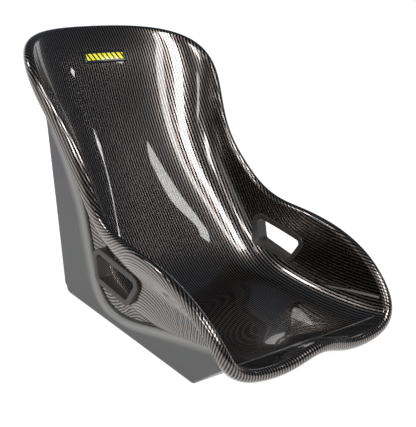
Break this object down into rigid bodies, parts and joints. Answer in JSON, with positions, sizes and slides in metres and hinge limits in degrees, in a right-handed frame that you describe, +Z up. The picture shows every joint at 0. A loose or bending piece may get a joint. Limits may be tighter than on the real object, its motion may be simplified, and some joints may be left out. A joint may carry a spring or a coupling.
{
  "type": "racing seat",
  "caption": "Low-back bucket seat: carbon front shell with a rolled rim, bonded to a flat-sided rear casing, with a framed harness slot in each side.",
  "frame": {"origin": "middle of the casing's flat base, on its underside", "axes": "+X to the sitter's left, +Y to the rear, +Z up"},
  "size_m": [0.4596, 0.7439, 0.4147],
  "materials": {
    "carbon_gloss": "clear-coated carbon twill",
    "casing_satin": "satin gel coat",
    "bezel_plastic": "satin",
    "sealant": "satin",
    "badge_enamel": "gloss",
    "plate_alloy": "milled",
    "insert_steel": "plated"
  },
  "bodies": {
    "root": {"front_shell": "carbon_gloss", "rear_casing": "casing_satin", "harness_bezel_outer_left": "bezel_plastic", "harness_bezel_outer_right": "bezel_plastic", "harness_bezel_inner_left": "bezel_plastic", "harness_bezel_inner_right": "bezel_plastic", "casing_seal_left": "sealant", "casing_seal_right": "sealant", "badge_plate": "badge_enamel", "mounting_plate_front": "plate_alloy", "mounting_plate_rear": "plate_alloy", "threaded_insert_front_left": "insert_steel", "threaded_insert_front_right": "insert_steel", "threaded_insert_rear_left": "insert_steel", "threaded_insert_rear_right": "insert_steel"}
  },
  "joints": []
}
